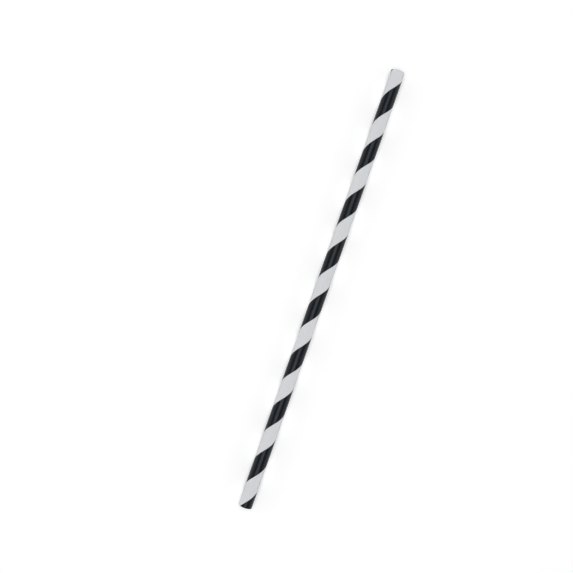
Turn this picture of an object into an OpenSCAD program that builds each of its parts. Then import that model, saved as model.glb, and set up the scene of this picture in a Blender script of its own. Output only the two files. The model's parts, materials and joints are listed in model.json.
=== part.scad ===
/* [Tube] */
// Outside diameter
outer_d = 6; // [5:0.1:12]
// Thickness of the wound paper wall
wall = 0.4; // [0.3:0.05:0.8]
// Length between the two cut ends
straw_len = 197; // [120:1:260]

/* [Winding] */
// Advance of the winding along the straw in one turn
pitch = 23.2; // [15:0.1:40]
// Gap between the edges of the inner strip where its turns meet
seam_gap = 0.15; // [0.05:0.05:0.5]
// Depth of that seam, from the bore to the glue that fills the rest of it
seam_depth = 0.05; // [0.02:0.01:0.1]
// Turn of the inner strip's seam about the straw from the outer strip's, in degrees
seam_lag = 120; // [0:5:355]

/* [Print] */
// Share of the outer strip's width that is printed black
black_share = 0.5; // [0.2:0.05:0.8]
// Depth that the black field is drawn to, flush with the paper around it
print_t = 0.05; // [0.01:0.01:0.1]
// Turn of the outer strip about the straw at its first end, in degrees
start_turn = 133; // [0:1:359]

/* [Hidden] */

// Flats that a turn of the winding is cut with, and how many reach the straw's far end
flats_per_turn = 12;
flats = ceil(straw_len * flats_per_turn / pitch);
round_fn = 96;

outer_r = outer_d / 2;
bore_r = outer_r - wall;
// How far a cut reaches past what it cuts
over = 0.05 * wall;
// Angle about the axis that the seam takes up, from its width square to the strip
seam_turn = 360 * seam_gap / (pitch * cos(atan(pitch / (2 * PI * bore_r))));

// Straight tube between two radii
module tube(r1, r2) {
    difference() {
        cylinder(r = r2, h = straw_len, $fn = round_fn);
        translate([0, 0, -over])
            cylinder(r = r1, h = straw_len + 2 * over, $fn = round_fn);
    }
}

function on_circle(r, angle) = r * [cos(angle), sin(angle)];

// Part of a tube that lies between two edges of the winding,
// each edge a right-handed helix that starts at its angle
module wound_band(r1, r2, from, to) {
    n = ceil((to - from) * flats_per_turn / 360);
    step = (to - from) / n;
    inner = r1 - over;
    outer = r2 / cos(180 / flats_per_turn) + over;
    intersection() {
        tube(r1, r2);
        linear_extrude(height = flats * pitch / flats_per_turn, twist = -360 * flats / flats_per_turn,
                       slices = flats, segments = 1)
            polygon([
                for (i = [0 : n]) on_circle(outer, from + i * step),
                for (i = [n : -1 : 0]) on_circle(inner, from + i * step)
            ]);
    }
}

// One paper tube, wound and glued from strips: the plain wall, the seam of the inner
// strip along its bore, and the black part of the outer strip's print
module straw_tube() {
    translate([-straw_len / 2, 0, outer_r])
        rotate([0, 90, 0])
            rotate([0, 0, start_turn]) {
                color("white")
                    difference() {
                        tube(bore_r, outer_r);
                        wound_band(bore_r - over, bore_r + seam_depth,
                                   seam_lag - seam_turn / 2, seam_lag + seam_turn / 2);
                    }
                color("black")
                    wound_band(outer_r - print_t, outer_r, 0, 360 * black_share);
            }
}

straw_tube();
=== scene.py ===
import bpy
import json
import math
import numpy as np
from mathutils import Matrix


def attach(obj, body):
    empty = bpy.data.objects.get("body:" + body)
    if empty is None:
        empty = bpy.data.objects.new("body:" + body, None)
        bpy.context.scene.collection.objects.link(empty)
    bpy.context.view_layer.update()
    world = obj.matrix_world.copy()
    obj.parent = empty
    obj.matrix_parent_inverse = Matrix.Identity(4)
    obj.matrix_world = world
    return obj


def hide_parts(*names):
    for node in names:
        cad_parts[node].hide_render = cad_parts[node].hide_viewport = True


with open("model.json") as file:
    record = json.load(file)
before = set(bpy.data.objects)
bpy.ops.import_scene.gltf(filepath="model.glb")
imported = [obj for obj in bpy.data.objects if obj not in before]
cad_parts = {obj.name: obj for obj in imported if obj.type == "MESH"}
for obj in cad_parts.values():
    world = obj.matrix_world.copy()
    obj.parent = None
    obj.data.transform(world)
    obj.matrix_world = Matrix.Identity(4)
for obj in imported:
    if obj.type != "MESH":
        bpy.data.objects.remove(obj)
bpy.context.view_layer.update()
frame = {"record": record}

# Wall of the straw
# Three strips of white paper, wound on a rod and glued into one stiff tube, which is cut square to length.
# The outer strip is printed half black before it is wound, so the print turns into an even stripe.
MM = 0.001
mounts = {mount["name"]: mount for mount in frame["record"]["mounts"]}
LENGTH = mounts["outside"]["dims"]["length_mm"] * MM
OUTER_R = mounts["outside"]["dims"]["r_mm"] * MM
BORE_R = mounts["drinking_bore"]["dims"]["r_mm"] * MM
AXIS_Z = mounts["outside"]["pos_m"][2]
WALL = OUTER_R - BORE_R
PLIES = 3
PLY = WALL / PLIES
# Advance of the winding along the straw in one turn
PITCH = 23.2 * MM
# Degrees about the straw, from its lowest line, at which the outer and the inner strip start
OUTER_START = 133
INNER_START = OUTER_START + 120
# Columns of the grid in one turn about the straw
COLUMNS = 120


def slope_at(radius):
    """Slope of the winding: the angle whose tangent is the pitch over the way round at that radius."""
    return math.atan2(PITCH, 2 * math.pi * radius)


def strip_width(radius):
    """Width of a strip whose turns just meet: the pitch times the cosine of the winding's slope."""
    return PITCH * math.cos(slope_at(radius))


def dent(distance, width, depth):
    """A soft groove: the depth times a bell curve of the distance over the width."""
    return depth * np.exp(-((distance / width) ** 2))


# The outer strip's two edges meet in a fine groove, in the middle of a wider dip
SEAM_WIDTH = 0.07 * MM
SEAM_DEPTH = 0.06 * MM
DIP_WIDTH = 0.5 * MM
DIP_DEPTH = 0.012 * MM
# The seams of the two strips below show through as faint dents, at these parts of the outer strip's width
DENT_PLACES = (1 / 3, 2 / 3)
DENT_WIDTH = 0.3 * MM
DENT_DEPTH = 0.012 * MM


def outer_radius(part):
    """Radius at a part of the outer strip's width, from 0 to 1: the outside, less the groove and the dip
    at the seam, less the dent over each seam below."""
    width = strip_width(OUTER_R)
    seam = np.minimum(part, 1 - part) * width
    r = OUTER_R - dent(seam, SEAM_WIDTH, SEAM_DEPTH) - dent(seam, DIP_WIDTH, DIP_DEPTH)
    for below in DENT_PLACES:
        r = r - dent((part - below) * width, DENT_WIDTH, DENT_DEPTH)
    return r


# The inner strip's two edges leave a groove along the bore
BORE_SEAM_WIDTH = 0.08 * MM
BORE_SEAM_DEPTH = 0.05 * MM


def inner_radius(part):
    """Radius at a part of the inner strip's width, from 0 to 1: the bore's, and more in the groove."""
    seam = np.minimum(part, 1 - part) * strip_width(BORE_R)
    return BORE_R + dent(seam, BORE_SEAM_WIDTH, BORE_SEAM_DEPTH)


# Distances of the grid's rows from the middle of a dent
DENT_ROWS = np.array([-0.5, -0.25, 0, 0.25, 0.5]) * MM
# Least gap from an evenly spread row to those at the seam and the dents, as a share of the even step
LEAST_GAP = 0.3


def rows_across(width, seam_rows, dents, even):
    """Places across a strip where the grid has rows, as parts of its width: at the given distances on both
    sides of the seam, close together at each dent, and evenly spread between them. They run from 0, and 1
    is the next turn's 0."""
    at_seam = np.concatenate([seam_rows / width, 1 - seam_rows[1:] / width])
    at_dents = (np.asarray(dents)[:, None] + DENT_ROWS / width).ravel()
    close = np.concatenate([at_seam, at_dents])
    spread = (np.arange(even) + 0.5) / even
    gap = np.abs(spread[:, None] - close).min(1)
    return np.sort(np.concatenate([close, spread[gap > LEAST_GAP / even]]))


# Depths of the slow wave that the knife leaves on a cut end and of the quick one that the fibres leave
KNIFE_WAVE = 0.03 * MM
FIBRE_WAVE = 0.015 * MM


def cut_line(phase):
    """How far a cut end stands back from the straw's full length, for each column: a cosine once round from
    the knife, and sines 17 and 29 times round from the paper's fibres, never past the full length."""
    angle = 2 * math.pi * np.arange(COLUMNS) / COLUMNS
    slow = 0.5 + 0.5 * np.cos(angle + phase)
    quick = 0.5 + 0.2 * np.sin(17 * angle + 2 * phase) + 0.3 * np.sin(29 * angle + phase)
    return KNIFE_WAVE * slow + FIBRE_WAVE * quick


def on_straw(along, radius, turn):
    """Points at a distance along the straw, a radius and a turn about it from its lowest line: sideways by
    the radius times the turn's sine, and below the axis by the radius times its cosine."""
    angle = 2 * math.pi * turn
    sideways = radius * np.sin(angle)
    height = AXIS_Z - radius * np.cos(angle)
    return np.stack(np.broadcast_arrays(along - LENGTH / 2, sideways, height), -1)


def split_cells(numbers, places):
    """Two triangles for each cell of a grid, from the point numbers and the places at its four corners, in
    order round the cell: the first has corners 0, 1 and 2, and the second has corners 0, 2 and 3."""
    halves = ((0, 1, 2), (0, 2, 3))
    triangles = [np.stack([numbers[corner] for corner in half], -1).reshape(-1, 3) for half in halves]
    at_corners = [np.stack([places[corner] for corner in half], 2).reshape(-1, 3, 4) for half in halves]
    return np.concatenate(triangles), np.concatenate(at_corners)


# A row that comes this close to an end of the wall is drawn in to it
MERGE = 0.02 * MM


def wound_wall(radius, start, rows, radius_of, near_end, far_end):
    """One face of the wall, on a grid that follows the winding. Column i stands at turn i / COLUMNS about
    the straw. Row j is at strip place t_j, and lies at pitch * (turn - start turn + t_j) along the straw,
    so a row runs round the straw as a helix and meets the row of the next turn. Each point has the radius
    that radius_of gives for its part of the strip's width. What would lie past an end is drawn in to that
    end. Gives the points, the rings of point numbers at the two ends, the triangles, and four numbers for
    each of their corners: the places along and across the strip, unrolled at the plain radius, the turn
    about the straw and the distance along it."""
    turn = np.arange(COLUMNS + 1) / COLUMNS
    wound = turn - start / 360
    # In every column the first turn of the strip starts before the near end, and the last past the far end
    first = math.floor(-wound.max())
    last = math.ceil(LENGTH / PITCH - wound.min())
    strip_place = (np.arange(first, last + 1)[:, None] + rows).ravel()
    near = np.append(near_end, near_end[0])[:, None]
    far = np.append(far_end, far_end[0])[:, None]
    along = PITCH * (wound[:, None] + strip_place)
    at_near = along <= near + MERGE
    at_far = along >= far - MERGE
    along = np.where(at_near, near, np.where(at_far, far, along))
    place = along / PITCH - wound[:, None]

    inside = ~(at_near | at_far)[:COLUMNS]
    count = np.count_nonzero(inside)
    near_ring = count + np.arange(COLUMNS)
    far_ring = near_ring + COLUMNS
    number = np.where(at_near[:COLUMNS], near_ring[:, None], far_ring[:, None])
    number[inside] = np.arange(count)
    points = np.empty((count + 2 * COLUMNS, 3))
    r = radius_of(place - np.floor(place))
    points[number] = on_straw(along[:COLUMNS], r[:COLUMNS], turn[:COLUMNS, None])
    next_turn = np.append(number[0, len(rows):], np.full(len(rows), far_ring[0]))
    number = np.vstack([number, next_turn])

    slope = slope_at(radius)
    whole = np.floor(strip_place[:-1])
    numbers = []
    places = []
    for right, up in ((0, 0), (1, 0), (1, 1), (0, 1)):
        columns = slice(right, COLUMNS + right)
        cells = (columns, slice(up, len(strip_place) - 1 + up))
        way_round = 2 * math.pi * radius * (wound[columns, None] + whole)
        down_strip = way_round * math.cos(slope) + along[cells] * math.sin(slope)
        across = (place[cells] - whole) * strip_width(radius)
        about = np.broadcast_to(turn[columns, None], across.shape)
        numbers.append(number[cells])
        places.append(np.stack([down_strip, across, about, along[cells]], -1))
    triangles, at_corners = split_cells(numbers, places)
    real = (triangles != np.roll(triangles, 1, 1)).all(1)
    return points, near_ring, far_ring, triangles[real], at_corners[real]


# Rounding where the knife pressed the paper's edge
EDGE_ROUND = 0.05 * MM
# How far the middle of that bend lies from each of the faces that it joins, as a part of the rounding
BEND_MIDDLE = 0.3
# Half the width of the dip at a glue line, and its depth
GLUE_HALF = 0.02 * MM
GLUE_DIP = 0.015 * MM


def cut_ring(outer_ring, inner_ring, first_point, end_x, inward):
    """A cut end: a ring between the two faces of the wall. Its profile is given by how far each row lies
    from the outside and how far it stands back from the cut. It leaves the outside by a rounded edge,
    crosses the strips with a shallow dip at each glue line, and rounds over into the bore. Gives the
    points, the triangles, and four numbers for each of their corners: the places round the straw and
    across the wall, the turn about the straw and the part of the profile."""
    edge = EDGE_ROUND * np.array([BEND_MIDDLE, 1])
    edge_back = EDGE_ROUND * np.array([BEND_MIDDLE, 0])
    glue = PLY * np.arange(1, PLIES)
    middles = PLY * (np.arange(PLIES) + 0.5)
    crossed = np.sort(np.concatenate([middles, glue - GLUE_HALF, glue, glue + GLUE_HALF]))
    dips = np.where(np.isin(crossed, glue), GLUE_DIP, 0)
    from_outside = np.concatenate([edge, crossed, WALL - edge[::-1]])
    back = np.concatenate([edge_back, dips, edge_back[::-1]])
    turn = np.arange(COLUMNS + 1) / COLUMNS
    points = on_straw(end_x + inward * back[:, None], OUTER_R - from_outside[:, None], turn[:COLUMNS])
    new_rows = first_point + np.arange(back.size * COLUMNS).reshape(-1, COLUMNS)
    number = np.vstack([outer_ring, new_rows, inner_ring])
    number = np.hstack([number, number[:, :1]])

    reach = np.concatenate([[0], from_outside, [WALL]])
    about, across = np.meshgrid(turn, reach)
    part = np.meshgrid(turn, np.linspace(0, 1, len(reach)))[1]
    place = np.stack([2 * math.pi * OUTER_R * about, across, about, part], -1)
    numbers = []
    places = []
    for down, right in ((0, 0), (0, 1), (1, 1), (1, 0)):
        cells = (slice(down, len(reach) - 1 + down), slice(right, COLUMNS + right))
        numbers.append(number[cells])
        places.append(place[cells])
    return points.reshape(-1, 3), *split_cells(numbers, places)


# Levels of the unit square between which the outside, the bore and the cut ends are laid flat
FLAT_OUTER = (0.2, 1.0)
FLAT_INNER = (0.06, 0.19)
FLAT_ENDS = (0.005, 0.05)
# Pieces that a face of the wall is cut into there, how far a triangle may reach past the end of its piece,
# and the empty margin on each side of what is laid flat, as a share of its width
FLAT_PIECES = 4
RAGGED = 2 * MM
MARGIN = 0.02


def unrolled(places, low, high):
    """A face of the wall laid flat on the unit square, between two levels: it is opened along the straw's
    lowest line and cut across into pieces of one length, which stand side by side."""
    piece_length = LENGTH / FLAT_PIECES
    along = places[:, :, 3]
    piece = np.clip(np.floor(along.mean(1, keepdims=True) / piece_length), 0, FLAT_PIECES - 1)
    across = (piece + MARGIN + (1 - 2 * MARGIN) * places[:, :, 2]) / FLAT_PIECES
    up = (along - piece * piece_length + RAGGED) / (piece_length + 2 * RAGGED)
    return np.stack([across, low + (high - low) * up], -1)


def unrolled_ring(places, from_left, low, high):
    """A cut end laid flat on the unit square, between two levels: it is opened at the bottom and takes half
    the width."""
    across = from_left + (MARGIN + (1 - 2 * MARGIN) * places[:, :, 2]) / 2
    return np.stack([across, low + (high - low) * places[:, :, 3]], -1)


# Distances of the grid's rows from each seam, and the number of rows spread evenly across each strip
OUTER_SEAM_ROWS = np.array([0, 0.03, 0.06, 0.1, 0.18, 0.4]) * MM
INNER_SEAM_ROWS = np.array([0, 0.04, 0.08, 0.14]) * MM
OUTER_EVEN = 24
INNER_EVEN = 10
outer_rows = rows_across(strip_width(OUTER_R), OUTER_SEAM_ROWS, DENT_PLACES, OUTER_EVEN)
inner_rows = rows_across(strip_width(BORE_R), INNER_SEAM_ROWS, (), INNER_EVEN)

# Where the waves of the two cuts start about the straw, in radians
NEAR_PHASE = 0.4
FAR_PHASE = 2.1
near_cut = cut_line(NEAR_PHASE)
far_cut = LENGTH - cut_line(FAR_PHASE)
wall_ends = (near_cut + EDGE_ROUND, far_cut - EDGE_ROUND)

outer_points, outer_near, outer_far, outer_faces, outer_places = wound_wall(
    OUTER_R, OUTER_START, outer_rows, outer_radius, *wall_ends)
inner_points, inner_near, inner_far, inner_faces, inner_places = wound_wall(
    BORE_R, INNER_START, inner_rows, inner_radius, *wall_ends)
inner_first = len(outer_points)
inner_near += inner_first
inner_far += inner_first
near_first = inner_first + len(inner_points)
near_points, near_faces, near_places = cut_ring(outer_near, inner_near, near_first, near_cut, 1)
far_first = near_first + len(near_points)
far_points, far_faces, far_places = cut_ring(outer_far, inner_far, far_first, far_cut, -1)

# The bore and the near end are turned over, so that every face points out of the paper
inner_faces = inner_faces[:, ::-1] + inner_first
inner_places = inner_places[:, ::-1]
near_faces = near_faces[:, ::-1]
near_places = near_places[:, ::-1]
points = np.concatenate([outer_points, inner_points, near_points, far_points])
triangles = np.concatenate([outer_faces, inner_faces, near_faces, far_faces])
places = np.concatenate([outer_places, inner_places, near_places, far_places])
flat = np.concatenate([
    unrolled(outer_places, *FLAT_OUTER),
    unrolled(inner_places, *FLAT_INNER),
    unrolled_ring(near_places, 0, *FLAT_ENDS),
    unrolled_ring(far_places, 0.5, *FLAT_ENDS),
])
# The finish of each triangle: the outer strip's, the inner strip's or that of the cut ends
finish_of = np.repeat([0, 1, 2], [len(outer_faces), len(inner_faces), len(near_faces) + len(far_faces)])

mesh = bpy.data.meshes.new("paper_straw")
mesh.vertices.add(len(points))
mesh.vertices.foreach_set("co", points.astype(np.float32).ravel())
mesh.loops.add(triangles.size)
mesh.loops.foreach_set("vertex_index", triangles.astype(np.int32).ravel())
mesh.polygons.add(len(triangles))
mesh.polygons.foreach_set("loop_start", np.arange(0, triangles.size, 3, dtype=np.int32))
mesh.polygons.foreach_set("material_index", finish_of.astype(np.int32))
mesh.uv_layers.new(name="strip").uv.foreach_set("vector", (places[:, :, :2] / MM).astype(np.float32).ravel())
mesh.uv_layers.new(name="OFBake").uv.foreach_set("vector", flat.astype(np.float32).ravel())
mesh.update(calc_edges=True)
mesh.shade_smooth()
# The wall's rims at the cuts stay sharp
edge_ends = np.empty(2 * len(mesh.edges), np.int32)
mesh.edges.foreach_get("vertices", edge_ends)
at_cut = np.zeros(len(points), bool)
at_cut[np.concatenate([outer_near, outer_far, inner_near, inner_far])] = True
mesh.edges.foreach_set("use_edge_sharp", at_cut[edge_ends.reshape(-1, 2)].all(1))
straw = bpy.data.objects.new("paper_straw", mesh)
bpy.context.scene.collection.objects.link(straw)
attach(straw, "root")
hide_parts("straw_tube")

# Print of the outer strip
# One half of the strip carries a solid satin black, laid on before winding. Its edge follows the
# paper's fibres, and the ink is thinner on the tops of some fibres.


def feed(tree, socket, value):
    """Puts a value on a socket, or a link to it where the value is another node's output."""
    if isinstance(value, bpy.types.NodeSocket):
        tree.links.new(value, socket)
    else:
        socket.default_value = value


def add_node(tree, kind, settings=(), **inputs):
    """A node of that kind with its settings, and with a value or a link on each named input."""
    node = tree.nodes.new(kind)
    for name, value in dict(settings).items():
        setattr(node, name, value)
    for name, value in inputs.items():
        feed(tree, node.inputs[name], value)
    return node


def calculate(tree, operation, *inputs):
    """The result of a Math node's operation on its inputs, in their order."""
    node = add_node(tree, "ShaderNodeMath", {"operation": operation})
    for socket, value in zip(node.inputs, inputs):
        feed(tree, socket, value)
    return node.outputs["Value"]


def between(tree, value, low, high, to_low, to_high, shape="LINEAR"):
    """A value from one range carried over to another, evenly or by a smooth step."""
    ranges = {"From Min": low, "From Max": high, "To Min": to_low, "To Max": to_high}
    node = add_node(tree, "ShaderNodeMapRange", {"interpolation_type": shape}, Value=value, **ranges)
    return node.outputs["Result"]


# Most of a noise lies between these two levels
NOISE_LOW = 0.3
NOISE_HIGH = 0.7


def by_noise(tree, noise, low=0.0, high=1.0):
    """A value that goes from low to high as the noise goes from its low level to its high one."""
    return between(tree, noise, NOISE_LOW, NOISE_HIGH, low, high)


def blend(tree, share, low, high):
    """A colour between two others by a share from 0 to 1. A Mix node has its colours on sockets 6 and 7,
    and gives the mixed colour on socket 2."""
    node = add_node(tree, "ShaderNodeMix", {"data_type": "RGBA"}, Factor=share)
    feed(tree, node.inputs[6], low)
    feed(tree, node.inputs[7], high)
    return node.outputs[2]


def srgb(red, green, blue):
    """A colour on the 0 to 255 scale as the linear colour that a shader takes, by the sRGB curve."""
    part = np.array([red, green, blue]) / 255
    linear = np.where(part <= 0.04045, part / 12.92, ((part + 0.055) / 1.055) ** 2.4)
    return (*linear.tolist(), 1)


# The fibre noise is drawn out along the strip by taking more of it across than along
FIBRE_STRETCH = (1.2, 5.0, 1.0)


def paper_finish(name):
    """A new material of the straw, and the paper's fibres: a noise drawn out along the strip. Gives the
    tree, the place on the strip in millimetres, and the fibre noise."""
    material = bpy.data.materials.new(name)
    material.use_nodes = True
    straw.data.materials.append(material)
    tree = material.node_tree
    place = add_node(tree, "ShaderNodeUVMap", {"uv_map": "strip"}).outputs["UV"]
    drawn = add_node(tree, "ShaderNodeMapping", Vector=place, Scale=FIBRE_STRETCH).outputs["Vector"]
    fibres = add_node(tree, "ShaderNodeTexNoise", Vector=drawn, Scale=1.6, Detail=5.0, Roughness=0.62)
    return tree, place, fibres.outputs["Fac"]


def lay_on(tree, fibres, colour, roughness, gloss, strength, raised):
    """Puts a finish on the shader: its colour, roughness and gloss, and a bump that raises the fibres."""
    shader = tree.nodes["Principled BSDF"]
    bump = add_node(tree, "ShaderNodeBump", Strength=strength, Distance=raised, Height=fibres)
    feed(tree, shader.inputs["Base Color"], colour)
    feed(tree, shader.inputs["Roughness"], roughness)
    feed(tree, shader.inputs["Specular IOR Level"], gloss)
    feed(tree, shader.inputs["Normal"], bump.outputs["Normal"])


PAPER_DARK = srgb(215, 217, 220)
PAPER_LIGHT = srgb(226, 227, 230)
INK_DARK = srgb(14, 20, 26)
INK_LIGHT = srgb(21, 28, 35)
INK_THIN = srgb(44, 50, 57)
# Share of the strip's width that is black, and in millimetres how far the ink bleeds along the fibres
# and half the softness of its edge
BLACK_SHARE = 0.5
BLEED = 0.07
SOFT_HALF = 0.02
# Levels of the fibre noise between which the ink gets thinner, and how thin it is at most
THIN_FROM = 0.62
THIN_TO = 0.8
THINNEST = 0.6
tree, place, fibres = paper_finish("printed_strip")
across = add_node(tree, "ShaderNodeSeparateXYZ", Vector=place).outputs["Y"]
bleed_noise = add_node(tree, "ShaderNodeTexNoise", Vector=place, Scale=3.5, Detail=3.0).outputs["Fac"]
bled = calculate(tree, "MULTIPLY_ADD", bleed_noise, BLEED, across)
edge = strip_width(OUTER_R) / MM * (1 - BLACK_SHARE) + BLEED / 2
inked = between(tree, bled, edge - SOFT_HALF, edge + SOFT_HALF, 0.0, 1.0, "SMOOTHSTEP")
cloud = add_node(tree, "ShaderNodeTexNoise", Vector=place, Scale=0.35, Detail=3.0).outputs["Fac"]
paper = blend(tree, by_noise(tree, fibres), PAPER_DARK, PAPER_LIGHT)
ink_body = blend(tree, by_noise(tree, cloud), INK_DARK, INK_LIGHT)
thin = between(tree, fibres, THIN_FROM, THIN_TO, 0.0, THINNEST)
ink = blend(tree, thin, ink_body, INK_THIN)
printed = blend(tree, inked, paper, ink)
paper_rough = by_noise(tree, fibres, low=0.62, high=0.74)
ink_rough = by_noise(tree, fibres, low=0.22, high=0.32)
rough = between(tree, inked, 0.0, 1.0, paper_rough, ink_rough)
lay_on(tree, fibres, printed, rough, gloss=0.2, strength=0.5, raised=0.012 * MM)

# Inner strip
# Plain white paper, rougher than the outside and without print. It is wound first, so it lines the bore
# and is seen only through the open ends.
INNER_DARK = srgb(214, 213, 210)
INNER_LIGHT = srgb(226, 225, 222)
tree, place, fibres = paper_finish("inner_strip")
plain = blend(tree, by_noise(tree, fibres), INNER_DARK, INNER_LIGHT)
rough = by_noise(tree, fibres, low=0.7, high=0.85)
lay_on(tree, fibres, plain, rough, gloss=0.3, strength=0.6, raised=0.015 * MM)

# Cut ends
# The raw edges of the three strips, which a knife has cut square across the straw. A darker line of glue
# shows between each two of them.
RAW_DARK = srgb(208, 206, 200)
RAW_LIGHT = srgb(226, 224, 219)
GLUE = srgb(176, 172, 162)
# How far the tone of the glue reaches from its line, in millimetres
GLUE_REACH = 0.018
tree, place, fibres = paper_finish("cut_paper")
depth = add_node(tree, "ShaderNodeSeparateXYZ", Vector=place).outputs["Y"]
# The two glue lines lie half a ply from the middle of the wall
from_middle = calculate(tree, "ABSOLUTE", calculate(tree, "SUBTRACT", depth, WALL / MM / 2))
from_glue = calculate(tree, "ABSOLUTE", calculate(tree, "SUBTRACT", from_middle, PLY / MM / 2))
glued = between(tree, from_glue, 0.0, GLUE_REACH, 1.0, 0.0, "SMOOTHSTEP")
raw = blend(tree, by_noise(tree, fibres), RAW_DARK, RAW_LIGHT)
cut = blend(tree, glued, raw, GLUE)
rough = by_noise(tree, fibres, low=0.8, high=0.92)
lay_on(tree, fibres, cut, rough, gloss=0.2, strength=0.8, raised=0.02 * MM)

# Floor
# A plain pale table top that the straw lies on. To the camera and in reflections it also glows, more so
# further away, so that it reads as white around the straw's soft shadow.
FLOOR_HALF = 2.0
FLOOR_PALE = srgb(236, 236, 236)
WHITE = (1, 1, 1, 1)
# Distances from the straw's middle between which the glow rises, and its strength at both
GLOW_FROM = 0.15
GLOW_TO = 0.65
GLOW_NEAR = 0.3
GLOW_FAR = 1.0
corners = [(FLOOR_HALF * x, FLOOR_HALF * y, 0) for x, y in ((-1, -1), (1, -1), (1, 1), (-1, 1))]
floor_mesh = bpy.data.meshes.new("floor")
floor_mesh.from_pydata(corners, [], [(0, 1, 2, 3)])
floor = bpy.data.objects.new("floor", floor_mesh)
bpy.context.scene.collection.objects.link(floor)
pale = bpy.data.materials.new("pale_floor")
pale.use_nodes = True
floor_mesh.materials.append(pale)
tree = pale.node_tree
rays = add_node(tree, "ShaderNodeLightPath").outputs
seen = calculate(tree, "MAXIMUM", rays["Is Camera Ray"], rays["Is Glossy Ray"])
seen = calculate(tree, "MAXIMUM", seen, rays["Is Transmission Ray"])
spot = add_node(tree, "ShaderNodeTexCoord").outputs["Object"]
away = add_node(tree, "ShaderNodeVectorMath", {"operation": "LENGTH"}, Vector=spot).outputs["Value"]
glow = between(tree, away, GLOW_FROM, GLOW_TO, GLOW_NEAR, GLOW_FAR, "SMOOTHSTEP")
shader = tree.nodes["Principled BSDF"]
shader.inputs["Base Color"].default_value = FLOOR_PALE
shader.inputs["Roughness"].default_value = 0.9
shader.inputs["Specular IOR Level"].default_value = 0.0
shader.inputs["Emission Color"].default_value = WHITE
feed(tree, shader.inputs["Emission Strength"], between(tree, seen, 0.0, 1.0, 0.0, glow))

# Room
# Even soft light from all round, as from white walls, with a dimmer ceiling. It is white at the horizon,
# so that the floor's far edge doesn't show.
world = bpy.data.worlds.new("soft_room")
bpy.context.scene.world = world
world.use_nodes = True
tree = world.node_tree
# Sines of the heights above the horizon between which the light dims, and its strength overhead
WHITE_TO = 0.3
DIM_FROM = 0.6
DIM = 0.05
facing = add_node(tree, "ShaderNodeTexCoord").outputs["Generated"]
up = add_node(tree, "ShaderNodeSeparateXYZ", Vector=facing).outputs["Z"]
background = tree.nodes["Background"]
background.inputs["Color"].default_value = WHITE
feed(tree, background.inputs["Strength"], between(tree, up, WHITE_TO, DIM_FROM, 1.0, DIM, "SMOOTHSTEP"))

# Lamps
# Three long soft lamps along the straw, which the camera doesn't see. A broad one overhead draws the soft
# streak along the ink, and a weak bluish one on each side lights the straw's flanks.


def strip_lamp(name, lean, distance, width, length, watts, tint):
    """A lamp along the straw that faces it, at a lean in degrees from overhead towards the straw's left:
    sideways by the distance times the lean's sine, and above the axis by the distance times its cosine."""
    lamp = bpy.data.lights.new(name, "AREA")
    lamp.shape = "RECTANGLE"
    lamp.size = length
    lamp.size_y = width
    lamp.energy = watts
    lamp.color = tint
    holder = bpy.data.objects.new(name, lamp)
    bpy.context.scene.collection.objects.link(holder)
    tilt = math.radians(lean)
    holder.location = (0, distance * math.sin(tilt), AXIS_Z + distance * math.cos(tilt))
    holder.rotation_euler = (-tilt, 0, 0)
    holder.visible_camera = False


strip_lamp("overhead", lean=2.9, distance=0.7, width=0.54, length=0.85, watts=3.85, tint=(1.0, 1.0, 1.0))
strip_lamp("left_side", lean=70, distance=0.8, width=0.5, length=1.2, watts=0.45, tint=(0.9, 0.95, 1.0))
strip_lamp("right_side", lean=-70, distance=0.8, width=0.5, length=1.2, watts=0.5, tint=(0.97, 0.99, 1.0))

# Camera
# It looks straight down, turned so that the straw leans to the right with its +X end at the top.
# The straw's length in the picture sets how high it is, and the pixel of the straw's middle sets its place.
LEAN = math.radians(19.4)
IMAGE = 573
LENGTH_PIXELS = 460.2
MIDDLE_PIXEL = (321.5, 289.0)
PIXEL = LENGTH / LENGTH_PIXELS
right = np.array([math.sin(LEAN), -math.cos(LEAN), 0])
upward = np.array([math.cos(LEAN), math.sin(LEAN), 0])
lens = bpy.data.cameras.new("camera")
lens.lens = 42
lens.sensor_width = 36
above = IMAGE * PIXEL * lens.lens / lens.sensor_width
aside = (IMAGE / 2 - MIDDLE_PIXEL[0]) * PIXEL
ahead = (MIDDLE_PIXEL[1] - IMAGE / 2) * PIXEL
camera = bpy.data.objects.new("camera", lens)
bpy.context.scene.collection.objects.link(camera)
camera.location = aside * right + ahead * upward + np.array([0, 0, AXIS_Z + above])
camera.rotation_euler = (0, 0, LEAN - math.pi / 2)
bpy.context.scene.camera = camera
bpy.context.scene.view_settings.view_transform = "Standard"
